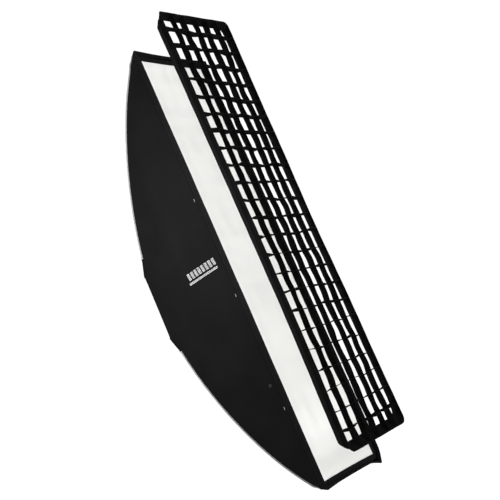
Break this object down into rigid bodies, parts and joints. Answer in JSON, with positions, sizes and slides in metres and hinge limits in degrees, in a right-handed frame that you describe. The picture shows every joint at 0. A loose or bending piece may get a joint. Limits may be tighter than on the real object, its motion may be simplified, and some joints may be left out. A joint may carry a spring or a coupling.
{
  "type": "strip softbox",
  "caption": "Narrow fabric softbox on a turning bayonet speed ring, with sprung rods, silver lining, inner baffle, recessed white front and a fabric grid held off its lip.",
  "frame": {"origin": "centre of the bayonet insert's rear face, where the flash head meets it", "axes": "+Z along the long side, upwards; +Y out of the back towards the flash head, so the light leaves towards -Y; +X to the right seen from the front"},
  "size_m": [0.3026, 0.437, 1.2536],
  "materials": {
    "insert_aluminium": "turned, satin",
    "ring_paint": "black powder coat over cast aluminium",
    "screw_steel": "zinc-plated",
    "socket_aluminium": "turned",
    "rod_steel": "drawn spring steel",
    "black_plastic": "moulded, matte",
    "outer_fabric": "black coated polyester weave",
    "lip_fabric": "black coated polyester, folded hem",
    "silver_lining": "silver coated lining",
    "webbing": "woven webbing",
    "piping": "corded seam binding",
    "hook_loop": "hook-and-loop tape",
    "diffuser_cloth": "white translucent diffusion cloth",
    "baffle_cloth": "white translucent diffusion cloth",
    "label_cloth": "blank woven label",
    "grid_fabric": "stiffened black fabric strips"
  },
  "bodies": {
    "insert": {"bayonet_insert": "insert_aluminium"},
    "softbox": {"ring_housing": "ring_paint", "retaining_ring": "ring_paint", "retaining_screw_1": "screw_steel", "retaining_screw_2": "screw_steel", "retaining_screw_3": "screw_steel", "retaining_screw_4": "screw_steel", "retaining_screw_5": "screw_steel", "retaining_screw_6": "screw_steel", "rod_socket_upper_left": "socket_aluminium", "rod_upper_left": "rod_steel", "rod_tip_upper_left": "black_plastic", "corner_pocket_upper_left": "webbing", "seam_piping_upper_left": "piping", "rod_socket_upper_right": "socket_aluminium", "rod_upper_right": "rod_steel", "rod_tip_upper_right": "black_plastic", "corner_pocket_upper_right": "webbing", "seam_piping_upper_right": "piping", "rod_socket_lower_left": "socket_aluminium", "rod_lower_left": "rod_steel", "rod_tip_lower_left": "black_plastic", "corner_pocket_lower_left": "webbing", "seam_piping_lower_left": "piping", "rod_socket_lower_right": "socket_aluminium", "rod_lower_right": "rod_steel", "rod_tip_lower_right": "black_plastic", "corner_pocket_lower_right": "webbing", "seam_piping_lower_right": "piping", "side_panel_left": "outer_fabric", "side_panel_right": "outer_fabric", "end_panel_top": "outer_fabric", "flap_tape_top": "hook_loop", "end_panel_bottom": "outer_fabric", "flap_tape_bottom": "hook_loop", "lining_left": "silver_lining", "lip_left": "lip_fabric", "lining_right": "silver_lining", "lip_right": "lip_fabric", "lining_top": "silver_lining", "lip_top": "lip_fabric", "lining_bottom": "silver_lining", "lip_bottom": "lip_fabric", "back_panel": "outer_fabric", "lip_loop_tape": "hook_loop", "diffuser_hem": "hook_loop", "front_diffuser": "diffuser_cloth", "inner_baffle": "baffle_cloth", "side_label": "label_cloth"},
    "lock_knob": {"lock_knob": "black_plastic", "lock_screw": "screw_steel"},
    "flap_top": {"closure_flap_top": "outer_fabric"},
    "flap_bottom": {"closure_flap_bottom": "outer_fabric"},
    "grid": {"grid_lattice": "grid_fabric", "grid_band": "grid_fabric", "grid_hook_tape": "hook_loop"}
  },
  "joints": [
    {"name": "ring_rotation", "type": "hinge", "parent": "insert", "child": "softbox", "pos_m": [0, 0, 0], "axis": [0, 1, 0], "continuous": true},
    {"name": "lock_screw_turn", "type": "hinge", "parent": "softbox", "child": "lock_knob", "pos_m": [0.0758, -0.00725, 0], "axis": [1, 0, 0], "range_deg": [0, 720]},
    {"name": "flap_top_open", "type": "hinge", "parent": "softbox", "child": "flap_top", "pos_m": [0, -0.04659, 0.17045], "axis": [1, 0, 0], "range_deg": [0, 110]},
    {"name": "flap_bottom_open", "type": "hinge", "parent": "softbox", "child": "flap_bottom", "pos_m": [0, -0.04659, -0.17045], "axis": [-1, 0, 0], "range_deg": [0, 110]},
    {"name": "grid_slide", "type": "slide", "parent": "softbox", "child": "grid", "axis": [-0.062, 0.8058, -0.5889], "range_m": [-0.1, 0.0968]}
  ]
}
